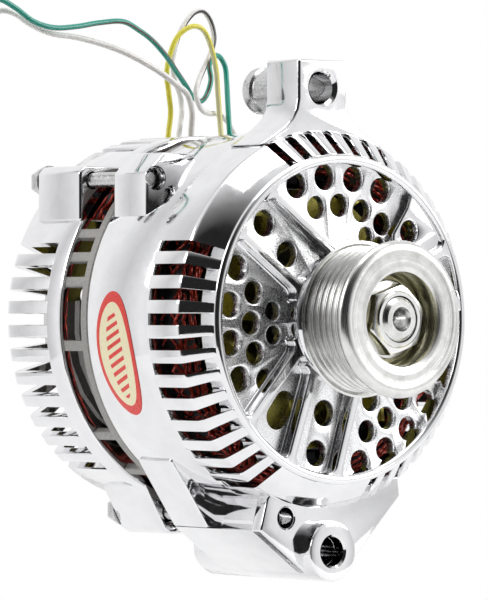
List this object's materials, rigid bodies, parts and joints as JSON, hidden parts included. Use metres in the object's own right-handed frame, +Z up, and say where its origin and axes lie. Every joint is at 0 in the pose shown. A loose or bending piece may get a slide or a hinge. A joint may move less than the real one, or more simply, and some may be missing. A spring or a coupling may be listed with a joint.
{
  "type": "car alternator",
  "caption": "Large-case car alternator with finned chrome housings, a grooved belt pulley, two mounting lugs, an open spacer ring and loose harness wires at the back.",
  "frame": {"origin": "on the pivot bolt's axis, at the front face of the pivot boss", "axes": "-Y towards the pulley along the shaft, +Y towards the regulator, +Z up from the pivot bolt through the shaft to the upper ear, +X to the right as seen from the pulley"},
  "size_m": [0.1792, 0.176, 0.2276],
  "materials": {
    "chrome": "bright chrome plating",
    "cast": "sand-cast, matt",
    "steel": "machined, semi-bright",
    "pulley_steel": "turned bright",
    "zinc_yellow": "yellow zinc plating",
    "laminations": "dark stacked sheet",
    "copper": "enamelled copper wire",
    "brass": "plain",
    "carbon": "pressed carbon",
    "black_plastic": "moulded",
    "bobbin_plastic": "moulded",
    "label_cream": "printed film",
    "yellow_insulation": "wire insulation",
    "white_insulation": "wire insulation",
    "green_insulation": "wire insulation"
  },
  "bodies": {
    "housing": {"front_housing": "chrome", "rear_housing": "chrome", "spacer_ring": "cast", "stator_core": "laminations", "stator_winding_front": "copper", "stator_winding_rear": "copper", "through_bolt_1": "steel", "through_bolt_2": "steel", "through_bolt_3": "steel", "front_bearing_outer_race": "steel", "bearing_retainer": "steel", "retainer_screw_1": "steel", "retainer_screw_2": "steel", "retainer_screw_3": "steel", "rear_bearing_outer_race": "steel", "ear_bushing": "steel", "regulator": "black_plastic", "harness_plug_left": "black_plastic", "harness_plug_right": "black_plastic", "brush_holder": "black_plastic", "brush_spring_1": "steel", "brush_spring_2": "steel", "positive_rectifier_plate": "cast", "negative_rectifier_plate": "cast", "diode_1": "steel", "diode_2": "steel", "diode_3": "steel", "diode_4": "steel", "diode_5": "steel", "diode_6": "steel", "output_stud": "steel", "output_stud_insulator": "black_plastic", "output_stud_nut": "brass", "oval_label": "label_cream", "yellow_wire": "yellow_insulation", "striped_wire": "white_insulation", "green_wire": "green_insulation", "white_wire": "white_insulation", "green_wire_terminal": "black_plastic", "white_wire_terminal": "black_plastic"},
    "rotor": {"rotor_shaft": "steel", "pulley": "pulley_steel", "pulley_nut": "steel", "shaft_collar": "steel", "front_bearing_inner_race": "steel", "rear_bearing_inner_race": "steel", "front_fan": "zinc_yellow", "rear_fan": "zinc_yellow", "front_pole_claws": "steel", "rear_pole_claws": "steel", "field_bobbin": "bobbin_plastic", "field_coil": "copper", "front_slip_ring": "brass", "rear_slip_ring": "brass", "slip_ring_hub": "black_plastic"},
    "front_cage": {"front_bearing_balls": "steel"},
    "rear_cage": {"rear_bearing_balls": "steel"},
    "front_brush": {"brush_1": "carbon"},
    "rear_brush": {"brush_2": "carbon"}
  },
  "joints": [
    {"name": "rotor_spin", "type": "hinge", "parent": "housing", "child": "rotor", "pos_m": [0, -0.0065, 0.0889], "axis": [0, 1, 0], "continuous": true},
    {"name": "front_cage_spin", "type": "hinge", "parent": "housing", "child": "front_cage", "pos_m": [0, -0.0065, 0.0889], "axis": [0, 1, 0], "continuous": true},
    {"name": "rear_cage_spin", "type": "hinge", "parent": "housing", "child": "rear_cage", "pos_m": [0, -0.0065, 0.0889], "axis": [0, 1, 0], "continuous": true},
    {"name": "front_brush_slide", "type": "slide", "parent": "housing", "child": "front_brush", "axis": [0, 0, 1], "range_m": [0, 0.005], "stiffness_N_per_m": 300, "springref_m": -0.01, "deforming": ["brush_spring_1"]},
    {"name": "rear_brush_slide", "type": "slide", "parent": "housing", "child": "rear_brush", "axis": [0, 0, 1], "range_m": [0, 0.005], "stiffness_N_per_m": 300, "springref_m": -0.01, "deforming": ["brush_spring_2"]}
  ],
  "couplings": [
    {"joint": "front_cage_spin", "follows": "rotor_spin", "ratio": 0.3625},
    {"joint": "rear_cage_spin", "follows": "rotor_spin", "ratio": 0.38}
  ]
}
